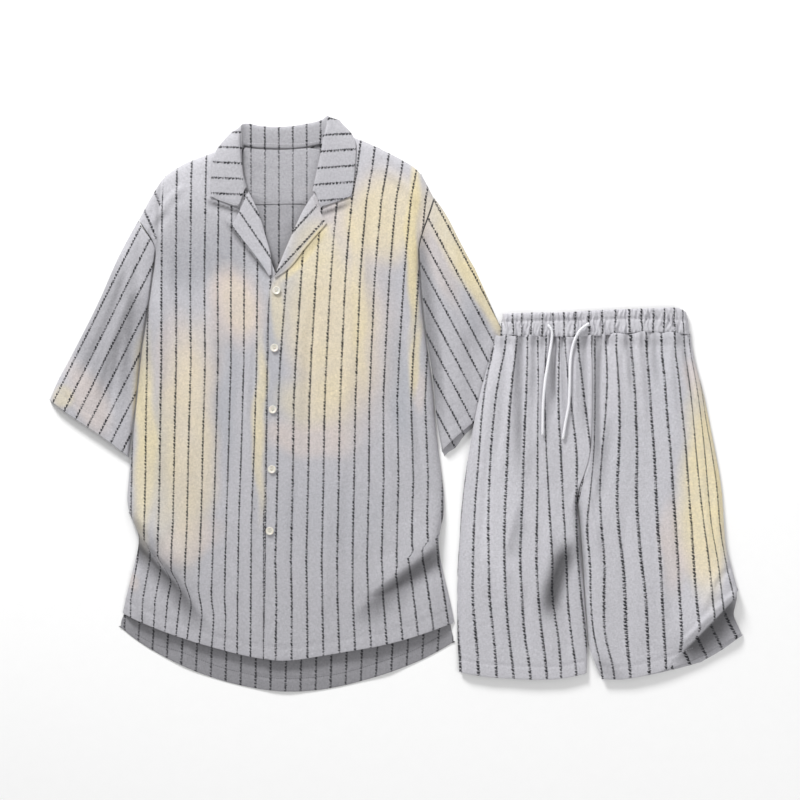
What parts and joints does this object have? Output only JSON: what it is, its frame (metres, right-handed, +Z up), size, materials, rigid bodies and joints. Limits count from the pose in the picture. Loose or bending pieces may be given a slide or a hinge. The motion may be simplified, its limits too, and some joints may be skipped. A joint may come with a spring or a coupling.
{
  "type": "shirt and shorts set",
  "caption": "Short-sleeved striped shirt with an open notched collar and matching drawstring shorts, laid flat side by side.",
  "frame": {"origin": "middle of the area that the laid out set covers, on the surface it lies on", "axes": "+Z up from the surface; +Y towards the neck and the waist; +X towards the wearer's left, from the shirt to the shorts"},
  "size_m": [0.9364, 0.7781, 0.0227],
  "materials": {
    "shirt_cloth": "soft woven cotton, grey with dark pinstripes and pale yellow dye clouds",
    "shorts_cloth": "soft woven cotton, light grey with dark pinstripes",
    "button_shell": "off-white, softly glossy",
    "cord_cotton": "white braided cotton"
  },
  "bodies": {
    "root": {"shirt_back": "shirt_cloth", "shirt_back_yoke": "shirt_cloth", "shirt_front_left": "shirt_cloth", "shirt_front_right": "shirt_cloth", "shirt_sleeve_left": "shirt_cloth", "shirt_sleeve_right": "shirt_cloth", "shirt_collar": "shirt_cloth", "shirt_lapel_left": "shirt_cloth", "shirt_lapel_right": "shirt_cloth", "shirt_button_1": "button_shell", "shirt_button_2": "button_shell", "shirt_button_3": "button_shell", "shirt_button_4": "button_shell", "shirt_button_5": "button_shell", "shorts_front_left": "shorts_cloth", "shorts_front_right": "shorts_cloth", "shorts_back_left": "shorts_cloth", "shorts_back_right": "shorts_cloth", "shorts_waistband": "shorts_cloth", "drawstring_left": "cord_cotton", "drawstring_right": "cord_cotton"}
  },
  "joints": []
}
